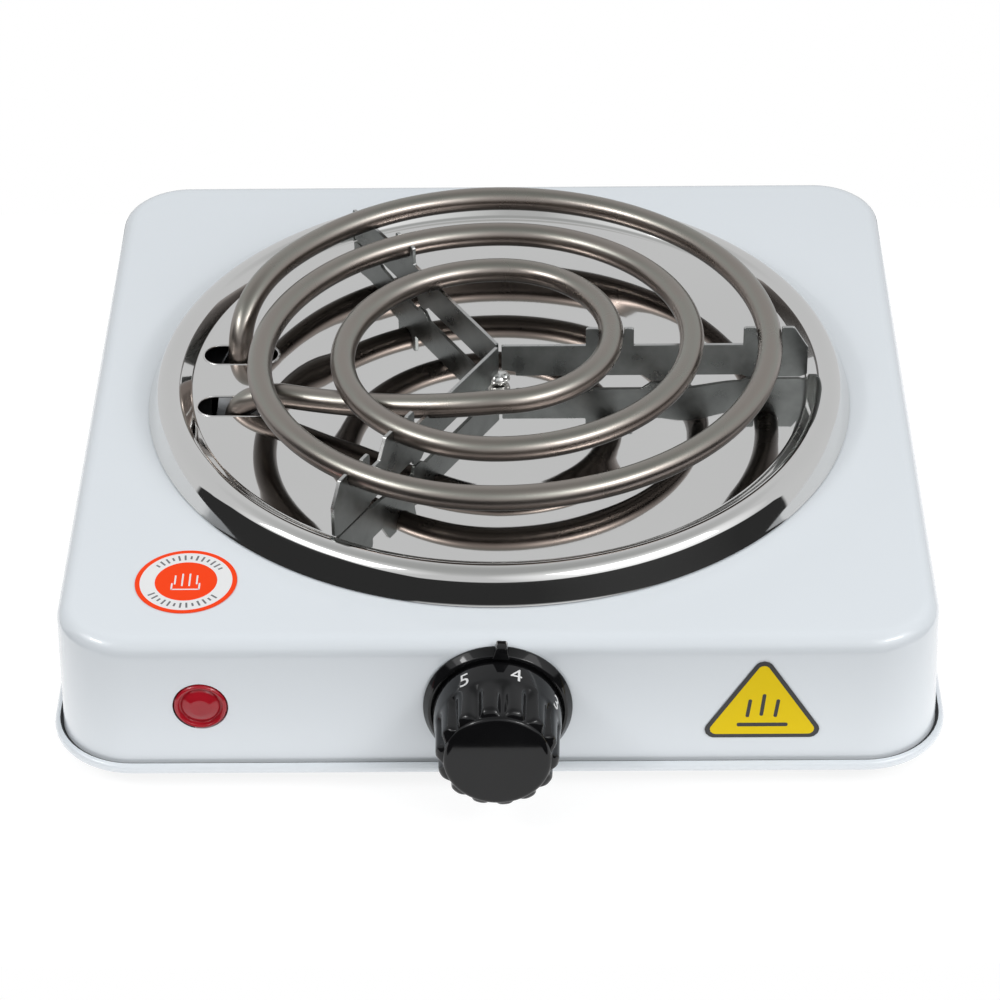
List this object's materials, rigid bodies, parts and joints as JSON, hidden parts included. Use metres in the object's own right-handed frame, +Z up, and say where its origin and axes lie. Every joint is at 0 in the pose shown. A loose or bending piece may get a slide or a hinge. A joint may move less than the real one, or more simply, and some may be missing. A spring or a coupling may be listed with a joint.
{
  "type": "hot plate burner",
  "caption": "Small square tabletop electric hot plate with a spiral heating coil over a mirror drip pan, a front heat knob and a pilot light.",
  "frame": {"origin": "on the table, under the middle of the object's bounding box", "axes": "+Z up, front with the knob towards -Y, +X to the right as seen from the front"},
  "size_m": [0.2224, 0.2444, 0.0664],
  "materials": {
    "enamel": "smooth glossy white enamel",
    "pan_chrome": "mirror polished",
    "sheath": "warm grey satin sheath",
    "galvanised": "galvanised sheet with bright cut edges",
    "steel": "plain satin steel",
    "brass": "plain",
    "black_plastic": "glossy moulded phenolic",
    "red_lens": "glossy translucent red",
    "ceramic": "matt steatite",
    "rubber": "matt black",
    "wire_sleeve": "pale heat-resistant sleeve",
    "neon_glass": "clear",
    "orange_label": "satin vinyl label",
    "yellow_label": "satin vinyl label"
  },
  "bodies": {
    "base": {"housing": "enamel", "drip_pan": "pan_chrome", "heat_shield": "steel", "element_bracket": "galvanised", "knob_bezel": "black_plastic", "thermostat_plate": "galvanised", "thermostat_bush": "brass", "thermostat_screw_1": "steel", "thermostat_screw_2": "steel", "thermostat_stack": "ceramic", "bimetal_strip": "brass", "contact_spring": "brass", "pilot_lens": "red_lens", "lamp_clip": "steel", "neon_tube": "neon_glass", "lamp_holder": "black_plastic", "round_label": "orange_label", "triangle_label": "yellow_label", "base_plate": "galvanised", "foot_1": "rubber", "foot_2": "rubber", "foot_3": "rubber", "foot_4": "rubber", "foot_screw_1": "steel", "foot_screw_2": "steel", "foot_screw_3": "steel", "foot_screw_4": "steel", "corner_bracket_1": "galvanised", "corner_bracket_2": "galvanised", "corner_bracket_3": "galvanised", "corner_bracket_4": "galvanised", "cord_gland": "black_plastic", "terminal_block": "ceramic", "terminal_screw_1": "brass", "terminal_screw_2": "brass", "terminal_screw_3": "brass", "earth_tag": "brass", "earth_screw": "steel", "wire_live": "wire_sleeve", "wire_switched": "wire_sleeve", "wire_neutral": "wire_sleeve", "wire_lamp_1": "wire_sleeve", "wire_lamp_2": "wire_sleeve"},
    "dial": {"knob": "black_plastic", "thermostat_shaft": "steel", "knob_spring_clip": "steel"},
    "element": {"heating_coil": "sheath", "coil_arm_right": "galvanised", "coil_arm_rear": "galvanised", "coil_arm_front": "galvanised", "hub_weld": "steel", "element_yoke": "steel", "coil_seal_1": "ceramic", "coil_seal_2": "ceramic", "coil_terminal_1": "steel", "coil_terminal_2": "steel"}
  },
  "joints": [
    {"name": "knob_turn", "type": "hinge", "parent": "base", "child": "dial", "pos_m": [0, -0.09946, 0.0255], "axis": [0, -0.9994, 0.0349], "range_deg": [-31, 211]},
    {"name": "element_lift", "type": "hinge", "parent": "base", "child": "element", "pos_m": [-0.069, 0.00641, 0.0405], "axis": [0, -1, 0], "range_deg": [0, 28]}
  ]
}
